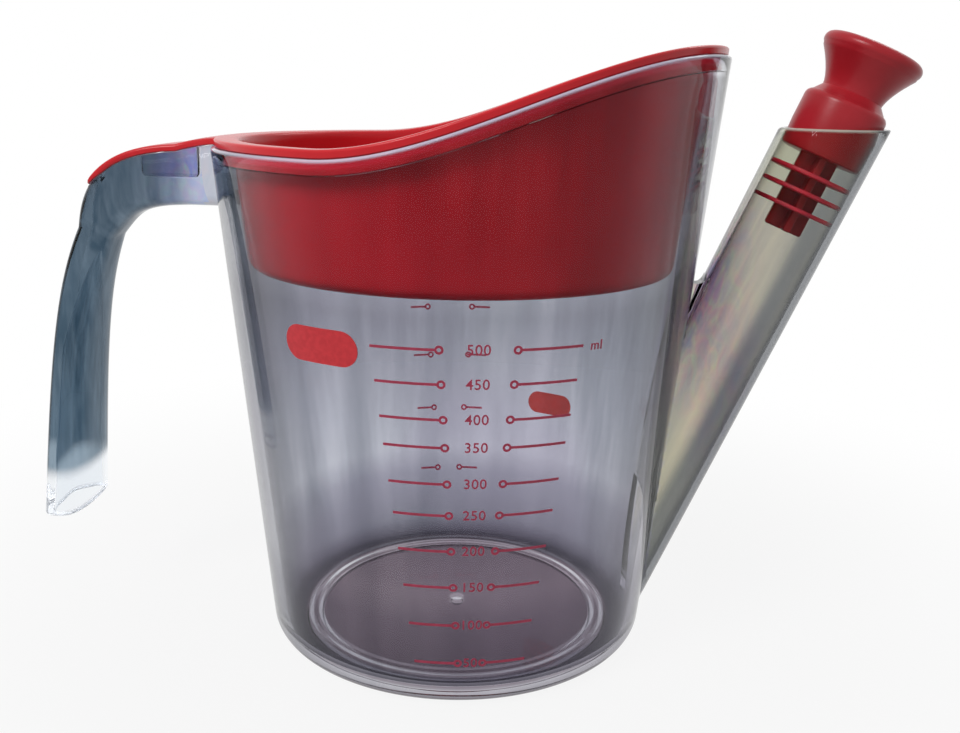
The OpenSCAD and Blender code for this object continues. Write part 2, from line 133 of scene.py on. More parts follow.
# the jug is one clear moulding of vessel, spout and handle; lengths are in millimetres, angles in degrees
jugShape = {
    "segments": 240,
    "baseRadius": 43.4, "lean": 5.4, "wall": 2.4, "floor": 2.4,
    "baseFillet": 4.4, "floorFillet": 3.4, "floorRing": 20.0, "softEdge": 0.3, "capRadius": 0.4,
    "footRadius": 36.0, "footWidth": 3.5, "footRecess": 1.2, "footStep": 0.5, "footRound": 0.5,
    "gateRadius": 1.5, "gateHeight": 0.5, "gateDraft": 0.2,
    "rimLow": 111.2, "rimHigh": 131.2, "riseStart": -25.0, "riseLength": 78.5,
    "rimBand": 3.0, "rimLedge": 0.9, "ledgeEdge": 0.05, "lip": 0.7,
}
slope = math.tan(math.radians(jugShape["lean"]))
cosLean = math.cos(math.radians(jugShape["lean"]))
floorTop = jugShape["footRecess"] + jugShape["floor"]
turn = np.linspace(0, 2 * math.pi, jugShape["segments"], endpoint=False)


def wallRadius(z):
    return jugShape["baseRadius"] + z * slope


def rimHeight(x):
    s = jugShape
    return s["rimLow"] + (s["rimHigh"] - s["rimLow"]) * smoothStep((x - s["riseStart"]) / s["riseLength"])


def levelRing(radius, z):
    return np.stack([radius * np.cos(turn), radius * np.sin(turn), np.full(turn.size, float(z))], -1)


def rimRing(inset, depth, radiusOf=wallRadius):
    # a ring that follows the rim's S-curve, set in from the outer wall and down from the rim;
    # its radius depends on its height and the other way round, so both are worked out in turns
    z = np.full(turn.size, jugShape["rimLow"])
    for _ in range(8):
        radius = radiusOf(z) - inset
        z = rimHeight(radius * np.cos(turn)) - depth
    return np.stack([radius * np.cos(turn), radius * np.sin(turn), z], -1)


def wallRings(low, high, inset, steps, radiusOf=wallRadius):
    # rings between a level ring and a ring that follows the rim
    rings = []
    for u in np.linspace(0, 1, steps + 1)[1:-1]:
        z = low[:, 2] + (high[:, 2] - low[:, 2]) * u
        radius = radiusOf(z) - inset
        rings.append(np.stack([radius * np.cos(turn), radius * np.sin(turn), z], -1))
    return rings


def cornerCentre(radiusAtTable, level, fillet):
    return (radiusAtTable + (level + fillet) * slope - fillet / cosLean, level + fillet)


def buildVessel():
    s = jugShape
    lean, lip, wall, band = s["lean"], s["lip"], s["wall"], s["rimBand"]
    soft, sharp, bend = s["softEdge"], s["ledgeEdge"], s["footRound"]
    recess, gate, foot = s["footRecess"], s["footRecess"] - s["gateHeight"], s["footRadius"]
    footInner = foot - s["footWidth"]
    under = [(s["capRadius"], gate), (s["gateRadius"] - s["gateDraft"], gate), (s["gateRadius"], recess)]
    under += [(footInner - soft, recess)] + arc((footInner + bend, bend), bend, 180, 270, 4)
    under += arc((foot - soft, soft), soft, -90, 0, 3) + [(foot + soft, s["footStep"])]
    outside = cornerCentre(s["baseRadius"], s["footStep"], s["baseFillet"])
    under += arc(outside, s["baseFillet"], -90, -lean, 14)
    rings = [levelRing(*p) for p in under]
    top = rimRing(0, lip)
    rings += wallRings(rings[-1], top, 0, 30) + [top]
    step = wall - s["rimLedge"]
    rings += [rimRing(lip * (1 - math.cos(a)), lip * (1 - math.sin(a))) for a in np.radians((22, 45, 68, 90))]
    rings += [rimRing(step - soft + soft * math.sin(a), soft * (1 - math.cos(a)))
              for a in np.radians((0, 30, 60, 90))]
    rings += [rimRing(step, band - sharp), rimRing(step + sharp, band),
              rimRing(wall - sharp, band), rimRing(wall, band + sharp)]
    corner = cornerCentre(s["baseRadius"] - wall, floorTop, s["floorFillet"])
    inside = arc(corner, s["floorFillet"], -lean, -90, 12)
    rings += wallRings(levelRing(*inside[0]), rings[-1], wall, 30)[::-1]
    rings += [levelRing(*p) for p in inside]
    rings += [levelRing(s["floorRing"], floorTop), levelRing(s["capRadius"], floorTop)]
    return skin("clearJug", rings)


spoutShape = {
    "segments": 120, "footX": 30.4, "tilt": 22.7, "radius": 10.6, "wall": 1.4,
    "mouth": 117.2, "lip": 0.5, "foot": 3.6, "boreFoot": 5.6, "play": 0.05,
    "portHeights": (12.0, 20.0, 28.0, 34.0), "boreCut": (50.0, 100.0),
    "crotch": 83.0, "webFoot": 66.0, "webWidth": 4.0, "webSink": 1.2, "webFlare": 2.4, "webSag": 1.6,
}
tiltSlope = math.tan(math.radians(spoutShape["tilt"]))
cosTilt = math.cos(math.radians(spoutShape["tilt"]))


def tubeRing(radius, z):
    # a level ring of the tilted tube
    a = np.linspace(0, 2 * math.pi, spoutShape["segments"], endpoint=False)
    x = spoutShape["footX"] + z * tiltSlope + radius / cosTilt * np.cos(a)
    return np.stack([x, radius * np.sin(a), np.full(a.size, float(z))], -1)


def buildSpout():
    s = spoutShape
    outer, lip, bore, mouth = s["radius"], s["lip"], s["radius"] - s["wall"], s["mouth"]
    rings = [tubeRing(outer, z) for z in np.linspace(s["foot"], mouth - lip, 40)]
    rings += [tubeRing(outer - lip * (1 - math.cos(a)), mouth - lip * (1 - math.sin(a)))
              for a in np.radians((30, 60, 90))]
    rings += [tubeRing(bore + lip * (1 - math.cos(a)), mouth - lip * (1 - math.sin(a)))
              for a in np.radians((90, 60, 30, 0))]
    rings += [tubeRing(bore, z) for z in np.linspace(mouth - lip, s["boreFoot"], 40)[1:]]
    return skin("spoutTube", rings)


def buildWeb():
    # the saddle between vessel and spout, thinnest in its middle
    s = spoutShape
    rings = []
    for u in np.linspace(0, 1, 12):
        base = s["webFoot"] + (s["crotch"] - s["webFoot"]) * u
        left = wallRadius(base) - s["webSink"]
        right = s["footX"] + base * tiltSlope - s["radius"] / cosTilt + s["webSink"]
        right = max(right, left + 1)
        across = np.linspace(-1, 1, 15)
        x = (left + right) / 2 + (right - left) / 2 * across
        half = s["webWidth"] / 2 + s["webFlare"] * np.abs(across) ** 2.5
        z = base + s["webSag"] * np.abs(across) ** 2 * u
        side = np.stack([x, half, z], -1)
        rings.append(np.concatenate([side, (side * [1, -1, 1])[::-1]]))
    return skin("web", rings)


def buildPort():
    # the bore's foot, cut through the vessel's wall
    s = spoutShape
    bore = s["radius"] - s["wall"] - s["play"]
    return skin("port", [tubeRing(bore, z) for z in (floorTop + s["play"], *s["portHeights"])])


def buildBoreCut():
    # keeps the web out of the spout's bore
    bore = spoutShape["radius"] - spoutShape["wall"] + 0.001
    return skin("boreCut", [tubeRing(bore, z) for z in np.linspace(*spoutShape["boreCut"], 12)])


def buildInsideCut():
    # reaches from the middle of the vessel's wall inwards, from below the table to above the rim
    return skin("insideCut", [levelRing(wallRadius(z) - jugShape["wall"] / 2, z) for z in (-5, 150)])


handleShape = {
    "armDepth": 13.7, "armRootWidth": 22.0, "armWidth": 20.0, "armReach": 7.0,
    "reach": 40.0, "gripThickness": 9.9, "gripWidth": 23.5, "neckThickness": 7.9, "neckWidth": 16.0,
    "gripEnd": 25.2, "gripWall": 2.1, "gripLip": 0.45, "levelFrom": 0.84, "power": 2.8, "ringPoints": 72,
    "hollowStart": 0.12, "hollowFull": 0.55, "hollowTaper": 0.94,      # shares of grip and hollow
    "channelWidth": 9.0, "channelDepth": 6.0, "channelStart": 4.0, "channelLength": 13.0, "channelPower": 5,
    "rootOverlap": 0.6,
}
lidShape = {
    "seatGap": 0.15, "band": 1.6, "setback": 0.9, "shoulderFit": 0.1, "softEdge": 0.1,
    "bowlBottom": 86.4, "bowlGap": 2.3, "bowlLean": 6.4, "bowlWall": 1.8, "bowlFillet": 2.5, "plate": 1.6,
    "tongueRoot": 23.0, "tongueWidth": 17.0, "tongueTip": 13.5, "tongueEnd": 0.62, "tongueGap": 0.2,
    "taperFrom": 0.75, "tipTaper": 0.45,
}


def curvePoints(rows):
    # rows of distance out from the wall, drop below the arm's middle, thickness and width
    return np.array([[-rimRadius - r[0], armCentre - r[1], r[2], r[3]] for r in rows])


rimRadius = wallRadius(jugShape["rimLow"])
bandTop = jugShape["rimLow"] + lidShape["seatGap"] + lidShape["band"]
armLow = jugShape["rimLow"] - handleShape["armDepth"]
armCentre = jugShape["rimLow"] - handleShape["armDepth"] / 2
gripDrop = armCentre - handleShape["gripEnd"]
h = handleShape
rootRise = (bandTop - jugShape["rimLow"]) / 2
armEnd = (h["armReach"], 0, h["armDepth"], h["armWidth"])
neck = (0.705 * h["reach"], 0.166 * gripDrop, h["neckThickness"], h["neckWidth"])
armCurve = curvePoints([
    (-jugShape["wall"] - h["rootOverlap"], -rootRise, bandTop - armLow, h["armRootWidth"]),
    (0, -rootRise, bandTop - armLow, 0.95 * h["armRootWidth"]),
    (0.6 * h["armReach"], -0.03 * h["armDepth"], 1.06 * h["armDepth"], h["armWidth"]),
    armEnd])
bendCurve = curvePoints([
    armEnd,
    (0.567 * h["reach"], 0.005 * gripDrop, 0.97 * h["armDepth"], 0.9 * h["armWidth"]),
    (0.63 * h["reach"], 0.077 * gripDrop, 0.93 * h["armDepth"], 1.03 * h["neckWidth"]),
    neck])
gripCurve = curvePoints([
    neck,
    (0.838 * h["reach"], 0.322 * gripDrop, 1.115 * h["neckThickness"], 1.09 * h["neckWidth"]),
    (0.898 * h["reach"], 0.49 * gripDrop, 0.8 * h["gripThickness"], 0.935 * h["gripWidth"]),
    (h["reach"], 1.08 * gripDrop, h["gripThickness"], h["gripWidth"])])


def bezier(curve, t):
    return ((1 - t) ** 3 * curve[0] + 3 * t * (1 - t) ** 2 * curve[1]
            + 3 * t * t * (1 - t) * curve[2] + t ** 3 * curve[3])


def heading(curve, t):
    d = (bezier(curve, min(1, t + 0.01)) - bezier(curve, max(0, t - 0.01)))[:2]
    return d / np.linalg.norm(d)


def beside(curve, t, out):
    # a point in the XZ plane at a distance outwards from a curve's middle line
    s, d = bezier(curve, t), heading(curve, t)
    return np.array([s[0] + d[1] * out, s[1] - d[0] * out])


def signedPower(v, e):
    return math.copysign(abs(v) ** e, v)


def handlePoint(curve, t, angle, inset):
    s, e = bezier(curve, t), 2 / handleShape["power"]
    x, z = beside(curve, t, (s[2] / 2 - inset) * signedPower(math.cos(angle), e))
    return [x, (s[3] / 2 - inset) * signedPower(math.sin(angle), e), z]


def handleRing(curve, t, inset, stopAt=None):
    # with stopAt the ring lies in a level plane, where the grip is open
    ring = []
    for angle in np.linspace(0, 2 * math.pi, handleShape["ringPoints"], endpoint=False):
        if stopAt is None:
            ring.append(handlePoint(curve, t, angle, inset))
            continue
        low, high = 0.6, 1.0
        for _ in range(30):
            mid = (low + high) / 2
            low, high = (mid, high) if handlePoint(curve, mid, angle, inset)[2] > stopAt else (low, mid)
        ring.append(handlePoint(curve, low, angle, inset))
    return ring


def buildHandle():
    s = handleShape
    end, lip, wall = s["gripEnd"], s["gripLip"], s["gripWall"]
    rings = [handleRing(armCurve, t, 0) for t in np.linspace(0, 1, 8)]
    rings += [handleRing(bendCurve, t, 0) for t in np.linspace(0, 1, 25)[1:]]
    rings += [handleRing(gripCurve, t, 0) for t in np.linspace(0, s["levelFrom"], 24)[1:]]
    rings += [handleRing(gripCurve, 1, lip * (1 - math.cos(a)), end + lip * (1 - math.sin(a)))
              for a in np.radians((0, 30, 60, 90))]
    rings += [handleRing(gripCurve, 1, wall - lip * (1 - math.cos(a)), end + lip * (1 - math.sin(a)))
              for a in np.radians((90, 60, 30, 0))]
    start, full = s["hollowStart"], s["hollowFull"]
    rings += [handleRing(gripCurve, t, wall) for t in np.linspace(s["levelFrom"], full, 16)]
    for t in np.linspace(full, start, 16)[1:]:
        middle = np.array([bezier(gripCurve, t)[0], 0, bezier(gripCurve, t)[1]])
        share = 1 - s["hollowTaper"] * (full - t) / (full - start)
        rings.append(middle + (np.array(handleRing(gripCurve, t, wall)) - middle) * share)
    return skin("handlePart", rings)


def tongueStations(end, steps=20):
    # (curve, t, share of the full thickness) from the lid's band over the arm and down the bend
    start, thinning = lidShape["taperFrom"], 1 - lidShape["tipTaper"]
    arm = [(armCurve, t, 1) for t in np.linspace(0, 1, 7)]
    return arm + [(bendCurve, end * u, 1 - thinning * max(0, u - start) / (1 - start))
                  for u in np.linspace(0, 1, steps + 1)[1:]]


def buildPocket():
    # room for the lid's tongue, cut through the top of the arm and past its sides
    over, under = [], []
    for curve, t, share in tongueStations(lidShape["tongueEnd"] + 0.02):
        half = bezier(curve, t)[2] / 2
        over.append(beside(curve, t, half + 1))
        under.append(beside(curve, t, half - lidShape["band"] * share - lidShape["tongueGap"]))
    outline = over + under[::-1]
    return skin("pocket", [[(x, y, z) for x, z in outline] for y in (-20, 20)])


def buildChannel():
    # open slot in the top of the arm, with rounded ends and a rounded foot
    s = handleShape
    length, width = s["channelLength"], s["channelWidth"]
    middle = -(rimRadius + s["channelStart"] + length) + length / 2
    foot = jugShape["rimLow"] - lidShape["band"] - s["channelDepth"]
    rings = []
    for up, grow in ((0, -0.8), (0.3, -0.3), (0.9, 0), (20, 0)):
        ring = []
        for angle in np.linspace(0, 2 * math.pi, 48, endpoint=False):
            ring.append((middle + (length / 2 + grow) * signedPower(math.cos(angle), 2 / s["channelPower"]),
                         (width / 2 + grow) * signedPower(math.sin(angle), 2 / s["channelPower"]), foot + up))
        rings.append(ring)
    return skin("channel", rings)


def buildJug():
    vessel = buildVessel()
    vessel = combine(vessel, buildPort(), "DIFFERENCE")
    tube = combine(combine(buildSpout(), buildWeb(), "UNION"), buildBoreCut(), "DIFFERENCE")
    tube = combine(tube, buildInsideCut(), "DIFFERENCE")
    grip = combine(buildHandle(), buildPocket(), "DIFFERENCE")
    grip = combine(grip, buildChannel(), "DIFFERENCE")
    grip = combine(grip, buildInsideCut(), "DIFFERENCE")
    vessel = combine(vessel, tube, "UNION")
    return combine(vessel, grip, "UNION", jugTurn)


jug = buildJug()
print("jug built:", len(jug.data.polygons), "faces")


# the strainer lid is one red moulding of band, tongue and bowl
bowlRadius = wallRadius(lidShape["bowlBottom"]) - jugShape["wall"] - lidShape["bowlGap"]


def bowlRadiusAt(z):
    return bowlRadius + (z - lidShape["bowlBottom"]) * math.tan(math.radians(lidShape["bowlLean"]))


def buildLid():
    s, j = lidShape, jugShape
    lean, soft = math.radians(s["bowlLean"]), s["softEdge"]
    fillet, bottom, plateTop = s["bowlFillet"], s["bowlBottom"], s["bowlBottom"] + s["plate"]
    centre = (bowlRadius + fillet * math.tan(lean) - fillet / math.cos(lean), bottom + fillet)
    plateEdge = bowlRadius - fillet - s["bowlWall"]
    rings = [levelRing(plateEdge, bottom)]
    rings += [levelRing(*p) for p in arc(centre, fillet, -90, -s["bowlLean"], 10)]
    shoulder, setback = j["wall"] - j["rimLedge"] + s["shoulderFit"], s["setback"]
    low, seat = s["seatGap"], j["rimBand"] - s["seatGap"]
    under = rimRing(0, seat, bowlRadiusAt)
    rings += wallRings(rings[-1], under, 0, 16, bowlRadiusAt) + [under]
    rings += [rimRing(shoulder + soft, seat), rimRing(shoulder, seat - soft), rimRing(shoulder, -low),
              rimRing(setback + soft, -low), rimRing(setback, -low - soft)]
    # how far in from the band's outside, and which share of its height
    crown = [(0, 0.62), (0.06, 0.8), (0.22, 0.92), (0.5, 0.98),
             (1.1, 1.0), (2.2, 1.0), (3.2, 0.98), (4.0, 0.92)]
    rings += [rimRing(setback + inset, -low - s["band"] * share) for inset, share in crown]
    inner = s["bowlWall"]
    rings += [rimRing(inner - inset, -low - s["band"] * share, bowlRadiusAt)
              for inset, share in ((0.35, 0.86), (0.1, 0.7), (0, 0.4))]
    inside = levelRing(bowlRadiusAt(plateTop + 2) - inner, plateTop + 2)
    rings += wallRings(inside, rings[-1], inner, 18, bowlRadiusAt)[::-1] + [inside]
    foot = bowlRadiusAt(plateTop) - inner
    rings += [levelRing(foot - inset, plateTop + up) for inset, up in ((0.1, 0.8), (0.5, 0.25), (1.0, 0.02))]
    lid = skin("strainerLid", rings + [levelRing(plateEdge, plateTop)], closed=True)
    return combine(lid, buildTongue(), "UNION")


def tongueHalfWidth(x):
    s = lidShape
    start = -rimRadius + s["setback"] + jugShape["wall"]
    end = -rimRadius - handleShape["armReach"] + 1
    root, width = s["tongueRoot"], s["tongueWidth"]
    root += (width - root) * float(smoothStep((x - start) / (end - start)))
    tip = beside(bendCurve, s["tongueEnd"], bezier(bendCurve, s["tongueEnd"])[2] / 2)[0]
    along = min(1, max(0, (x - end) / (tip - end)))
    return (root + (s["tongueTip"] - width) * along) / 2


def buildTongue():
    side = [(1, 0.12), (1, 0.55), (0.985, 0.78), (0.95, 0.9), (0.85, 0.965), (0.5, 0.995)]      # across, up
    below = [(-0.985, 0.03), (-0.95, 0), (-0.5, 0), (0, 0), (0.5, 0), (0.95, 0), (0.985, 0.03)]
    profile = [(-1, 0.12)] + below + side + [(0, 1)] + [(-across, up) for across, up in side[:0:-1]]
    stations = tongueStations(lidShape["tongueEnd"], 28)
    tip = {0: 0.82, 1: 0.94, 2: 0.985}      # the last stations are narrower, which rounds the tip
    rings = []
    for (curve, t, share), left in zip(stations, range(len(stations) - 1, -1, -1)):
        half, thick = bezier(curve, t)[2] / 2, lidShape["band"] * share
        width = tongueHalfWidth(beside(curve, t, half)[0]) * tip.get(left, 1)
        ring = []
        for across, up in profile:
            x, z = beside(curve, t, half - thick * (1 - up))
            ring.append((x, width * across, z))
        rings.append(ring)
    return skin("tongue", rings)


lid = buildLid()
print("lid built:", len(lid.data.polygons), "faces")


# the stopper is one red moulding of grip with plug, crossed stem and sealing fins
stopperShape = {
    "segments": 128, "fit": 0.06, "plugBottom": 120.1, "plugLength": 11.1, "plugTaper": 0.3, "plugRound": 0.5,
    "bulge": 1.6, "neckRadius": 6.6, "gripRise": 13.5, "flareRadius": 10.8, "flareEdge": 3.0, "flareIn": 0.5,
    "flarePower": 1.5, "dishRadii": (7.3, 4.0, 0.3), "dishDepths": (0.12, 0.4, 0.5), "capRadius": 0.3,
    "stemLength": 16.8, "stemWidth": 8.5, "stemRib": 1.8, "softEdge": 0.3,
    "finStart": 4.1, "finSpacing": 3.8, "finThickness": 0.9, "finCount": 3,
}


def alongSpout(points):
    # points given with Z along the spout's axis, origin at the table
    c, s = cosTilt, math.sin(math.radians(spoutShape["tilt"]))
    p = np.asarray(points, float)
    return np.stack([spoutShape["footX"] + p[..., 0] * c + p[..., 2] * s, p[..., 1],
                     -p[..., 0] * s + p[..., 2] * c], -1)


def lathe(name, profile):
    a = np.linspace(0, 2 * math.pi, stopperShape["segments"], endpoint=False)
    rings = [np.stack([r * np.cos(a), r * np.sin(a), np.full(a.size, float(z))], -1) for r, z in profile]
    return skin(name, alongSpout(rings))


def buildStopper():
    s = stopperShape
    soft, cap, bulge, bend = s["softEdge"], s["capRadius"], s["bulge"], s["plugRound"]
    radius = spoutShape["radius"] - spoutShape["wall"] - s["fit"]
    bottom, shoulder = s["plugBottom"], s["plugBottom"] + s["plugLength"]
    top, low = shoulder + s["gripRise"], radius - s["plugTaper"]
    waist, edgeLow = shoulder + 2 * bulge, top - s["flareEdge"]
    flare, halfEdge = s["flareRadius"], s["flareEdge"] / 2
    profile = [(cap, bottom)] + arc((low - bend, bottom + bend), bend, -90, 0, 5)
    profile += [(radius, bottom + s["plugLength"] / 2), (radius, shoulder)]
    profile += arc((radius - bulge, shoulder), bulge, 10, 70, 8)
    for u in np.linspace(0, 1, 18):
        reach = (flare - s["flareIn"] - s["neckRadius"]) * u ** s["flarePower"]
        profile.append((s["neckRadius"] + reach, waist + (edgeLow - waist) * u))
    profile += arc((flare - halfEdge, top - halfEdge), halfEdge, -40, 85, 12)
    profile += [(r, top - down) for r, down in zip(s["dishRadii"], s["dishDepths"])]
    stopper = lathe("stopper", profile)
    for turned in (False, True):
        stopper = combine(stopper, buildRib(turned), "UNION")
    for i in range(s["finCount"]):
        middle, half = bottom - s["finStart"] - i * s["finSpacing"], s["finThickness"] / 2
        rim = arc((radius - soft, middle - half + soft), soft, -90, 0, 3)
        rim += arc((radius - soft, middle + half - soft), soft, 0, 90, 3)
        fin = lathe("fin", [(cap, middle - half)] + rim + [(cap, middle + half)])
        stopper = combine(stopper, fin, "UNION")
    return stopper


def buildRib(turned):
    # one bar of the crossed stem, with rounded edges
    s = stopperShape
    soft, length = s["softEdge"], s["stemLength"]
    rings = []
    for z, grow in ((-length, -soft), (-length + soft, 0), (0.2, 0)):
        ring = []
        for angle in np.linspace(0, 2 * math.pi, 40, endpoint=False):
            x = (s["stemWidth"] / 2 + grow) * signedPower(math.cos(angle), 0.15)
            y = (s["stemRib"] / 2 + grow) * signedPower(math.sin(angle), 0.4)
            ring.append((-y, x, s["plugBottom"] + z) if turned else (x, y, s["plugBottom"] + z))
        rings.append(ring)
    return skin("rib", alongSpout(rings))


stopper = buildStopper()
print("stopper built:", len(stopper.data.polygons), "faces")


# the numbers of the millilitre scale are printed on the wall
scaleShape = {
    "turn": 7.7, "top": 78.3, "digitHeight": 2.05, "unitAngle": 26.2, "unitHeight": 78.1, "unitSize": 1.9,
    "ink": 0.12, "lift": 0.02, "capShare": 0.72, "boldness": 0.02, "spacing": 1.08,
    "shares": [0.146, 0.26, 0.371, 0.474, 0.573, 0.658, 0.754, 0.826, 0.915, 1],      # of the top mark
}


def buildText(name, text, angle, z, height):
    # flat text, bent round the cone of the wall
    s = scaleShape
    curve = bpy.data.curves.new(name, "FONT")
    curve.body, curve.align_x, curve.align_y = text, "CENTER", "CENTER"
    curve.size, curve.extrude, curve.resolution_u = height / s["capShare"] * mm, s["ink"] / 2 * mm, 6
    curve.offset, curve.space_character = s["boldness"] * mm, s["spacing"]
    flat = bpy.data.objects.new(name, curve)
    bpy.context.scene.collection.objects.link(flat)
    mesh = bpy.data.meshes.new_from_object(flat.evaluated_get(bpy.context.evaluated_depsgraph_get()))
    bpy.data.objects.remove(flat)
    middle = math.radians(270 + s["turn"] + angle)
    for v in mesh.vertices:
        up = v.co.y / mm
        radius = wallRadius(z + up) + s["lift"] + s["ink"] / 2 + v.co.z / mm
        around = middle + v.co.x / mm / wallRadius(z)
        v.co = Vector((radius * math.cos(around), radius * math.sin(around), z + up)) * mm
    return finishObject(name, mesh)


numbers = [buildText("scaleNumber%d" % (50 * (i + 1)), str(50 * (i + 1)), 0, share * scaleShape["top"],
                     scaleShape["digitHeight"]) for i, share in enumerate(scaleShape["shares"])]
numbers.append(buildText("scaleUnit", "ml", scaleShape["unitAngle"], scaleShape["unitHeight"],
                         scaleShape["unitSize"]))
print("numbers built")


# Clear styrene bends light with an index of 1.57. It is lower here, and its glint is tinted down, because
# the jug in the photograph shows far fewer bright and dark bands than it would in a white studio.
# Places are in metres, as the shader sees them, and streak is in millimetres. From a lip inwards the wall
# is made partly opaque up to satinTo, a painted highlight along the lip, and has no dark edge up to
# plainFrom.
bodyFinish = {
    "dark": "#D0D3D8", "light": "#F4F6F9", "violet": "#E0DEE7",     # tint of one wall, in streaks and clouds
    "edge": "#434449", "edgeFrom": 0.32, "edgeTo": 0.92,            # where a wall is seen along its length
    "lean": 0.0, "streak": 8.5, "ior": 1.3,
    "stressCentre": (0.050, 0.0, 0.024), "stressReach": 0.013, "stressHeight": 0.35,
    # painted shade: the wall darkens towards its base, with lighter and darker bands higher up
    "heights": ((0.0, "#38343D"), (0.003, "#827E88"), (0.007, "#B0AEB6"), (0.020, "#D4D2D9"),
                (0.027, "#FCFBFD"), (0.062, "#DBDBE0"), (0.084, "#C8C8CB"), (0.090, "#E4E4E6")),
    # painted shade darkens the floor's disc; the foot ring's edges, the gate and the rim line are painted
    # highlights
    "floor": "#8F8089", "floorTop": 0.0041, "floorFade": 0.0046, "discEdge": 0.036, "discFade": 0.037,
    "ring": "#FFFFFF", "ringRadii": (0.0352, 0.0331), "ringEdge": 0.0003, "ringFade": 0.0007,
    "gateEdge": 0.0012, "gateFade": 0.0022, "rimLine": "#E4E0F4", "rimDepth": 0.0013, "rimFade": 0.00208,
    "plainFrom": 0.0033, "plainTo": 0.0045, "satinTo": 0.0009,
}
spoutFinish = {
    "dark": "#BFC0BE", "light": "#E1DBCC", "violet": "#CFD1C2",
    "edge": "#4E5155", "edgeFrom": 0.3, "edgeTo": 0.85,
    "lean": spoutShape["tilt"], "streak": 5.5, "ior": 1.35,
    "stressCentre": (0.056, 0.0, 0.026), "stressReach": 0.016, "stressHeight": 0.35,
    # painted shade on the tube's outer flank
    "flank": "#94979B", "flankFrom": 0.0052, "flankTo": 0.0085,
    "plainFrom": 0.0007, "plainTo": 0.0012, "satinTo": 0.0008,
}
# the grip's dark blue-grey stands partly for the deeper tint of its thick plastic and partly for painted
# shade; it darkens towards the bend as painted shade, and its open end is painted light
gripFinish = {
    "dark": "#324859", "light": "#7B8E9D", "violet": "#50677A",
    "edge": "#4C5964", "edgeFrom": 0.45, "edgeTo": 0.95,
    "lean": 0.0, "streak": 3.6, "ior": 1.14,
    "stressCentre": (-0.060, 0.0, 0.0735), "stressReach": 0.017, "stressHeight": 0.7,
    "heights": ((0.040, "#FFFFFF"), (0.080, "#F4F2F2"), (0.110, "#E6DEDE")),
    "open": "#F4F7FA", "arm": "#B9C6DA", "armFrom": -0.068, "armTo": -0.061,
    "plainFrom": 0.0083, "plainTo": 0.0123, "satinTo": 0.0008,
}
# painted light: the hollow's walls are painted pale, for light that enters at the open end
gripInnerFinish = {
    **gripFinish, "dark": "#DFE5E9", "light": "#FFFFFF", "violet": "#EEF2F5", "edge": "#B9C3CB",
    "heights": ((0.0, "#FFFFFF"), (0.110, "#FFFFFF")), "arm": "#F4F7FB",
}


def paint(tree, tint, measure, full, gone, colour, most=1.0, how="MIX"):
    # the tint turns to a colour where a measure is at full, and no longer where it is at gone
    share = addNode(tree, "ShaderNodeMapRange", {
        "interpolation_type": "SMOOTHSTEP", "Value": measure,
        "From Min": full, "From Max": gone, "To Min": most, "To Max": 0.0})
    return addNode(tree, "ShaderNodeMix", {
        "data_type": "RGBA", "blend_type": how, 0: share, 6: tint, 7: colour})


def paintBody(tree, finish, split, tint):
    # painted shade darkens the floor; painted highlights lighten the foot ring's edges, the gate and a line
    # along the rim
    place = addNode(tree, "ShaderNodeTexCoord").outputs["Object"]
    across = addNode(tree, "ShaderNodeVectorMath", {"operation": "MULTIPLY", 0: place, 1: (1, 1, 0)})
    radius = addNode(tree, "ShaderNodeVectorMath", {"operation": "LENGTH", 0: across})
    onFloor = addNode(tree, "ShaderNodeMapRange", {
        "interpolation_type": "SMOOTHSTEP", "Value": split.outputs["Z"],
        "From Min": finish["floorTop"], "From Max": finish["floorFade"], "To Min": 1.0, "To Max": 0.0})
    tint = paint(tree, tint, radius, finish["discEdge"], finish["discFade"], finish["floor"], onFloor)
    for middle in finish["ringRadii"]:
        offset = addNode(tree, "ShaderNodeMath", {"operation": "SUBTRACT", 0: radius, 1: middle})
        away = addNode(tree, "ShaderNodeMath", {"operation": "ABSOLUTE", 0: offset})
        tint = paint(tree, tint, away, finish["ringEdge"], finish["ringFade"], finish["ring"], onFloor)
    tint = paint(tree, tint, radius, finish["gateEdge"], finish["gateFade"], finish["ring"], onFloor)
    start, end = jugShape["riseStart"] * mm, (jugShape["riseStart"] + jugShape["riseLength"]) * mm
    rim = addNode(tree, "ShaderNodeMapRange", {
        "interpolation_type": "SMOOTHSTEP", "Value": split.outputs["X"], "From Min": start, "From Max": end,
        "To Min": jugShape["rimLow"] * mm, "To Max": jugShape["rimHigh"] * mm})
    fromLip = addNode(tree, "ShaderNodeMath", {"operation": "SUBTRACT", 0: rim, 1: split.outputs["Z"]})
    return paint(tree, tint, fromLip, finish["rimDepth"], finish["rimFade"], finish["rimLine"]), fromLip


def paintSpout(tree, finish, split, tint):
    # painted shade: the tube's outer flank is darker
    z = split.outputs["Z"]
    lean = addNode(tree, "ShaderNodeMath", {"operation": "MULTIPLY", 0: z, 1: tiltSlope})
    upright = addNode(tree, "ShaderNodeMath", {"operation": "SUBTRACT", 0: split.outputs["X"], 1: lean})
    foot, mouth = spoutShape["footX"] * mm, spoutShape["mouth"] * mm
    across = addNode(tree, "ShaderNodeMath", {"operation": "SUBTRACT", 0: upright, 1: foot})
    fromLip = addNode(tree, "ShaderNodeMath", {"operation": "SUBTRACT", 0: mouth, 1: z})
    return paint(tree, tint, across, finish["flankTo"], finish["flankFrom"], finish["flank"]), fromLip


def paintGrip(tree, finish, split, tint):
    # pale at the arm's root, and painted light at the open end, where light enters
    tint = paint(tree, tint, split.outputs["X"], finish["armTo"], finish["armFrom"], finish["arm"])
    end = handleShape["gripEnd"] * mm
    fromLip = addNode(tree, "ShaderNodeMath", {"operation": "SUBTRACT", 0: split.outputs["Z"], 1: end})
    return paint(tree, tint, fromLip, finish["plainFrom"], finish["plainTo"], finish["open"]), fromLip


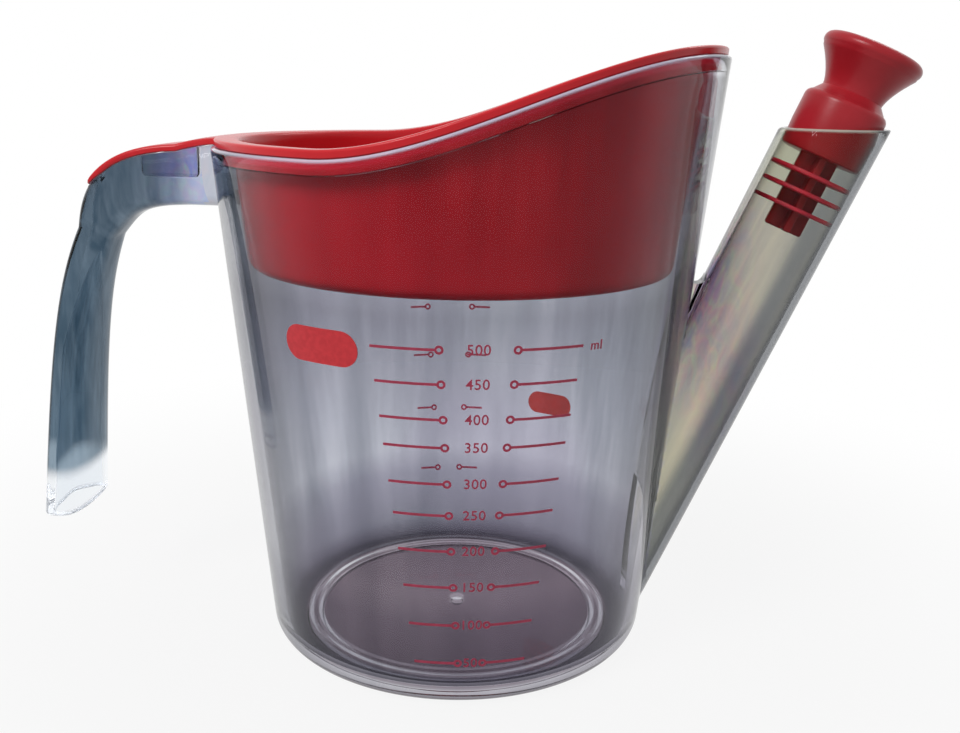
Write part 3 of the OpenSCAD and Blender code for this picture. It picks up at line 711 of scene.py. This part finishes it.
def clearPlastic(name, finish, paintZones):
    # styrene copolymer, injection moulded and polished: clear with a grey tint that deepens along the walls,
    # flow streaks from the mould, and faint stress colours where the forms join
    material, tree = newMaterial(name)
    position = addNode(tree, "ShaderNodeTexCoord").outputs["Object"]
    split = addNode(tree, "ShaderNodeSeparateXYZ", {0: position})
    along = addNode(tree, "ShaderNodeVectorRotate", {
        "rotation_type": "Y_AXIS", "Vector": position, "Angle": -math.radians(finish["lean"])})
    # streaks run up the wall, 14 times as long as they are wide, over tint that changes every 45 mm
    upright = addNode(tree, "ShaderNodeMapping", {"Vector": along, "Scale": (1, 1, 0.07)})
    flow = addNode(tree, "ShaderNodeTexNoise", {
        "Vector": upright, "Scale": 1 / (finish["streak"] * mm), "Detail": 3.0, "Roughness": 0.6})
    tint = addNode(tree, "ShaderNodeValToRGB", {
        "Fac": flow, "steps": ((0.36, finish["dark"]), (0.66, finish["light"]))})
    clouds = addNode(tree, "ShaderNodeTexNoise", {"Vector": position, "Scale": 1 / (45 * mm), "Detail": 1.0})
    tint = paint(tree, tint, clouds, 0.62, 0.4, finish["violet"], 0.7)
    # painted shade that changes with height, multiplied into the tint
    if "heights" in finish:
        top = finish["heights"][-1][0]
        level = addNode(tree, "ShaderNodeMath", {"operation": "DIVIDE", 0: split.outputs["Z"], 1: top})
        heightShade = addNode(tree, "ShaderNodeValToRGB", {
            "Fac": level, "steps": [(z / top, colour) for z, colour in finish["heights"]]})
        tint = addNode(tree, "ShaderNodeMix", {
            "data_type": "RGBA", "blend_type": "MULTIPLY", 0: 1.0, 6: tint, 7: heightShade})
    tint, fromLip = paintZones(tree, finish, split, tint)
    # moulding stress shows as colour fringes 4.5 mm wide, in a patch higher than wide
    squeezed = addNode(tree, "ShaderNodeMapping", {
        "Vector": position, "Scale": (1, 1, finish["stressHeight"])})
    away = addNode(tree, "ShaderNodeVectorMath", {
        "operation": "DISTANCE", 0: squeezed, 1: finish["stressCentre"]})
    fringes = addNode(tree, "ShaderNodeTexNoise", {
        "Vector": squeezed, "Scale": 1 / (4.5 * mm), "Detail": 1.0, "Distortion": 1.2})
    stress = addNode(tree, "ShaderNodeValToRGB", {"Fac": fringes, "steps": (
        (0.3, "#8388DA"), (0.42, "#AC88DC"), (0.5, "#EA96CA"), (0.58, "#CDE2C9"), (0.7, "#93ADE4"))})
    tint = paint(tree, tint, away, 0.0, finish["stressReach"], stress, 0.85, "MULTIPLY")
    # walls darken where they are seen along their length, but not at a lip, which is made partly opaque and
    # pale there as a painted highlight
    facing = addNode(tree, "ShaderNodeLayerWeight", {"Blend": 0.5}).outputs["Facing"]
    edge = addNode(tree, "ShaderNodeValToRGB", {
        "Fac": facing, "steps": ((finish["edgeFrom"], "#FFFFFF"), (finish["edgeTo"], finish["edge"]))})
    edgeShare = addNode(tree, "ShaderNodeMapRange", {
        "interpolation_type": "SMOOTHSTEP", "Value": fromLip,
        "From Min": finish["plainFrom"], "From Max": finish["plainTo"]})
    clearness = addNode(tree, "ShaderNodeMapRange", {
        "interpolation_type": "SMOOTHSTEP", "Value": fromLip,
        "From Min": 0.1 * mm, "From Max": finish["satinTo"], "To Min": 0.45})
    shaded = addNode(tree, "ShaderNodeMix", {
        "data_type": "RGBA", "blend_type": "MULTIPLY", 0: edgeShare, 6: tint, 7: edge})
    # the wall isn't quite flat, which bends what is seen through it
    waves = addNode(tree, "ShaderNodeTexNoise", {"Vector": upright, "Scale": 1 / (14 * mm), "Detail": 0.0})
    bump = addNode(tree, "ShaderNodeBump", {"Height": waves, "Strength": 0.3, "Distance": 0.8 * mm})
    shader = addNode(tree, "ShaderNodeBsdfPrincipled", {
        "Base Color": shaded, "Roughness": 0.0, "IOR": finish["ior"], "Transmission Weight": clearness,
        "Specular Tint": "#707076", "Normal": bump})
    # the lamps shine in through the walls
    path = addNode(tree, "ShaderNodeLightPath")
    passing = addNode(tree, "ShaderNodeBsdfTransparent", {"Color": "#E4E3E7"})
    mixed = addNode(tree, "ShaderNodeMixShader", {0: path.outputs["Is Shadow Ray"], 1: shader, 2: passing})
    addNode(tree, "ShaderNodeOutputMaterial", {"Surface": mixed})
    return material


def redPlastic():
    # ABS, injection moulded and glossy: deep red, a little uneven in gloss from handling;
    # the grain is drawn coarser than the mould's own, which wouldn't show
    material, tree = newMaterial("redAbsMoulded")
    place = addNode(tree, "ShaderNodeTexCoord").outputs["Object"]
    cloud = addNode(tree, "ShaderNodeTexNoise", {"Vector": place, "Scale": 1 / (20 * mm), "Detail": 3.0})
    colour = addNode(tree, "ShaderNodeValToRGB", {
        "Fac": cloud, "steps": ((0.3, "#BE1A22"), (0.7, "#CB212B"))})
    gloss = addNode(tree, "ShaderNodeMapRange", {"Value": cloud, "To Min": 0.18, "To Max": 0.3})
    grain = addNode(tree, "ShaderNodeTexNoise", {"Vector": place, "Scale": 1 / (1.2 * mm), "Detail": 2.0})
    bump = addNode(tree, "ShaderNodeBump", {"Height": grain, "Strength": 0.08, "Distance": 0.1 * mm})
    shader = addNode(tree, "ShaderNodeBsdfPrincipled", {
        "Base Color": colour, "Roughness": gloss, "IOR": 1.54, "Specular IOR Level": 0.2, "Normal": bump})
    addNode(tree, "ShaderNodeOutputMaterial", {"Surface": shader})
    return material


def redSilicone():
    # silicone rubber, compression moulded: rose red, satin, light sinks into it a little;
    # its grain too is drawn coarser than real, so that it shows
    material, tree = newMaterial("redSiliconeMoulded")
    place = addNode(tree, "ShaderNodeTexCoord").outputs["Object"]
    cloud = addNode(tree, "ShaderNodeTexNoise", {"Vector": place, "Scale": 1 / (9 * mm), "Detail": 3.0})
    colour = addNode(tree, "ShaderNodeValToRGB", {
        "Fac": cloud, "steps": ((0.3, "#9C1C25"), (0.7, "#A9232D"))})
    grain = addNode(tree, "ShaderNodeTexNoise", {"Vector": place, "Scale": 1 / (0.7 * mm), "Detail": 3.0})
    bump = addNode(tree, "ShaderNodeBump", {"Height": grain, "Strength": 0.12, "Distance": 0.1 * mm})
    shader = addNode(tree, "ShaderNodeBsdfPrincipled", {
        "Base Color": colour, "Roughness": 0.3, "IOR": 1.45, "Specular IOR Level": 0.3, "Normal": bump,
        "Subsurface Weight": 0.1, "Subsurface Scale": 2 * mm, "Subsurface Radius": (1.0, 0.3, 0.25)})
    addNode(tree, "ShaderNodeOutputMaterial", {"Surface": shader})
    return material


def redSiliconeFinsLit():
    # the same rubber on the thin fins, painted brighter and rosier: painted light that stands for light
    # passing into them
    material, tree = newMaterial("redSiliconeFinsLit")
    place = addNode(tree, "ShaderNodeTexCoord").outputs["Object"]
    cloud = addNode(tree, "ShaderNodeTexNoise", {"Vector": place, "Scale": 1 / (6 * mm), "Detail": 2.0})
    colour = addNode(tree, "ShaderNodeValToRGB", {
        "Fac": cloud, "steps": ((0.3, "#C82A43"), (0.7, "#D63650"))})
    shader = addNode(tree, "ShaderNodeBsdfPrincipled", {
        "Base Color": colour, "Roughness": 0.4, "IOR": 1.41,
        "Subsurface Weight": 0.3, "Subsurface Scale": 3 * mm, "Subsurface Radius": (1.0, 0.3, 0.3)})
    addNode(tree, "ShaderNodeOutputMaterial", {"Surface": shader})
    return material


def printedInk(name, dark, light, through=0.0):
    # screen ink on plastic: matt, with the slightly uneven cover of a print; a thin coat lets light through
    material, tree = newMaterial(name)
    place = addNode(tree, "ShaderNodeTexCoord").outputs["Object"]
    cover = addNode(tree, "ShaderNodeTexNoise", {"Vector": place, "Scale": 1 / (1.1 * mm), "Detail": 2.0})
    colour = addNode(tree, "ShaderNodeValToRGB", {"Fac": cover, "steps": ((0.35, dark), (0.65, light))})
    shader = addNode(tree, "ShaderNodeBsdfPrincipled", {
        "Base Color": colour, "Roughness": 0.5, "IOR": 1.5, "Transmission Weight": through})
    addNode(tree, "ShaderNodeOutputMaterial", {"Surface": shader})
    return material


def assign(obj, *materials):
    obj.data.materials.clear()
    for material in materials:
        obj.data.materials.append(material)


# faces of the grip and the spout stand out from the wall by more than these millimetres, the grip's skin lies
# past this share of its section, and the fins stand out from the stem and hang below the plug by the last two
faceTest = {"grip": 1.5, "spout": 0.15, "gripSkin": 0.8, "fin": 0.2, "belowPlug": 1.0}
handleLine = [(bezier(curve, t), heading(curve, t))
              for curve in (armCurve, bendCurve, gripCurve) for t in np.linspace(0, 1, 30)]


def insideGrip(x, y, z):
    # true for the walls of the hollow and of the slot
    station, along = min(handleLine, key=lambda line: (line[0][0] - x) ** 2 + (line[0][1] - z) ** 2)
    out = abs((x - station[0]) * along[1] - (z - station[1]) * along[0])
    power = handleShape["power"]
    return (2 * out / station[2]) ** power + (2 * abs(y) / station[3]) ** power < faceTest["gripSkin"]


def dressJug():
    # the wall's plastic, then the spout's, the grip's and that of the grip's hollow; their tints carry
    # painted shade and light besides the plastic's own tint
    assign(jug, clearPlastic("clearStyrenePolished", bodyFinish, paintBody),
           clearPlastic("clearStyreneSpout", spoutFinish, paintSpout),
           clearPlastic("clearStyreneGripShaded", gripFinish, paintGrip),
           clearPlastic("clearStyreneHollow", gripInnerFinish, paintGrip))
    for face in jug.data.polygons:
        x, y, z = face.center / mm
        if x < -rimRadius - faceTest["grip"]:
            face.material_index = 3 if insideGrip(x, y, z) else 2
        elif z > floorTop and math.hypot(x, y) > wallRadius(z) + faceTest["spout"]:
            face.material_index = 1


def dressStopper():
    # the fins are the faces beside the stem, below the plug
    assign(stopper, redSilicone(), redSiliconeFinsLit())
    tilt, footX = math.radians(spoutShape["tilt"]), spoutShape["footX"]
    for face in stopper.data.polygons:
        x, y, z = face.center / mm
        along = (x - footX) * math.sin(tilt) + z * math.cos(tilt)
        across = math.hypot((x - footX) * math.cos(tilt) - z * math.sin(tilt), y)
        below = along < stopperShape["plugBottom"] - faceTest["belowPlug"]
        face.material_index = int(below and across > stopperShape["stemWidth"] / 2 + faceTest["fin"])


dressJug()
dressStopper()
red, nodes = redPlastic(), frame["nodes"]
scaleInk = printedInk("crimsonScreenInk", "#98213F", "#A62A4A", 0.12)
# the back prints have brighter colours than the front ones, painted light that stands for light shining
# through them, and let most light through
for obj, material in ((lid, red), (nodes["strainer_plate"], red), (nodes["ml_scale_print"], scaleInk),
                      (nodes["back_scale_print"], printedInk("crimsonInkBacklit", "#EC5C72", "#F87488", 0.9)),
                      (nodes["front_label_print"], printedInk("orangeRedScreenInk", "#B51A25", "#C1242D")),
                      (nodes["back_label_print"], printedInk("orangeRedInkBacklit", "#FF6258", "#FF766C", 0.9))):
    assign(obj, material)
for number in numbers:
    assign(number, scaleInk)
    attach(number, "jug")
for obj, body, slotName, replaced in (
        (jug, "jug", "clear_body", ("vessel", "spout", "handle")),
        (lid, "lid", "lid_red", ("lid_band", "strainer_bowl")),
        (stopper, "stopper", "stopper_red", ("stopper_grip", "stopper_stem", "stopper_fins"))):
    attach(obj, body)
    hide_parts(*replaced)
print("materials set")


# where the photograph was taken from, in metres, with the picture's right, up and forward directions
cameraPlace = {
    "location": (0.016134, -0.230725, 0.123877),
    "right": (0.998260, 0.055516, 0.019884),
    "up": (-0.033578, 0.257950, 0.965575),
    "forward": (-0.048476, 0.964562, -0.259365),
    "lens": 38.80,
}


def buildCamera():
    data = bpy.data.cameras.new("photoCamera")
    data.lens, data.sensor_width, data.sensor_fit = cameraPlace["lens"], 36.0, "HORIZONTAL"
    data.clip_start, data.clip_end = 0.01, 20
    camera = bpy.data.objects.new("photoCamera", data)
    right, up, forward = (Vector(cameraPlace[k]) for k in ("right", "up", "forward"))
    matrix = Matrix((right, up, -forward)).transposed().to_4x4()
    matrix.translation = Vector(cameraPlace["location"])
    camera.matrix_world = matrix
    bpy.context.scene.collection.objects.link(camera)
    bpy.context.scene.camera = camera


# metres and watts; nearWhite is how white the floor looks near the jug, skyLight how strongly the white
# surroundings light it
studio = {
    "floorSize": 3.0, "shadowNear": 0.06, "shadowFar": 0.24, "nearWhite": 0.88, "skyLight": 0.4,
    "aim": (0, 0, 0.06), "lampSize": 0.4,
    "keyPlace": (-0.45, -0.55, 0.75), "keyWatts": 6.5, "rimPlace": (0.5, 0.5, 0.7), "rimWatts": 1.5,
}


def seenWhite(tree):
    # 1 for camera, mirror and see-through rays, which are shown plain white
    path = addNode(tree, "ShaderNodeLightPath").outputs
    direct = addNode(tree, "ShaderNodeMath", {
        "operation": "MAXIMUM", 0: path["Is Camera Ray"], 1: path["Is Glossy Ray"]})
    return addNode(tree, "ShaderNodeMath", {
        "operation": "MAXIMUM", 0: direct, 1: path["Is Transmission Ray"]})


def buildFloor():
    # white to the eye, and matt grey to the lamps near the jug, so that a soft shadow shows
    size = studio["floorSize"]
    mesh = bpy.data.meshes.new("floor")
    corners = [(-size, -size, 0), (size, -size, 0), (size, size, 0), (-size, size, 0)]
    mesh.from_pydata(corners, [], [(0, 1, 2, 3)])
    floor = bpy.data.objects.new("floor", mesh)
    bpy.context.scene.collection.objects.link(floor)
    material, tree = newMaterial("paleFloor")
    matt = addNode(tree, "ShaderNodeBsdfDiffuse", {"Color": "#B4B4B4"})
    lit = addNode(tree, "ShaderNodeEmission", {"Color": "#FFFFFF", "Strength": 1.0})
    place = addNode(tree, "ShaderNodeTexCoord").outputs["Object"]
    away = addNode(tree, "ShaderNodeVectorMath", {"operation": "LENGTH", 0: place})
    whiteness = addNode(tree, "ShaderNodeMapRange", {
        "interpolation_type": "SMOOTHSTEP", "Value": away,
        "From Min": studio["shadowNear"], "From Max": studio["shadowFar"], "To Min": studio["nearWhite"]})
    share = addNode(tree, "ShaderNodeMath", {"operation": "MULTIPLY", 0: seenWhite(tree), 1: whiteness})
    mixed = addNode(tree, "ShaderNodeMixShader", {0: share, 1: matt, 2: lit})
    addNode(tree, "ShaderNodeOutputMaterial", {"Surface": mixed})
    assign(floor, material)


def buildWorld():
    world = bpy.data.worlds.new("studio")
    bpy.context.scene.world = world
    world.use_nodes = True
    tree = world.node_tree
    tree.nodes.clear()
    strength = addNode(tree, "ShaderNodeMapRange", {"Value": seenWhite(tree), "To Min": studio["skyLight"]})
    sky = addNode(tree, "ShaderNodeBackground", {"Color": "#FFFFFF", "Strength": strength})
    addNode(tree, "ShaderNodeOutputWorld", {"Surface": sky})


def addLamp(name, place, watts):
    data = bpy.data.lights.new(name, "AREA")
    data.shape, data.size, data.energy = "DISK", studio["lampSize"], watts
    lamp = bpy.data.objects.new(name, data)
    lamp.location = place
    lamp.visible_transmission = False       # no second, grainy share of the light through the clear walls
    lamp.rotation_euler = (Vector(studio["aim"]) - Vector(place)).to_track_quat("-Z", "Y").to_euler()
    bpy.context.scene.collection.objects.link(lamp)


buildCamera()
buildFloor()
buildWorld()
addLamp("keyLamp", studio["keyPlace"], studio["keyWatts"])
addLamp("rimLamp", studio["rimPlace"], studio["rimWatts"])
bpy.context.scene.view_settings.view_transform = "Standard"
print("camera, floor and light set")
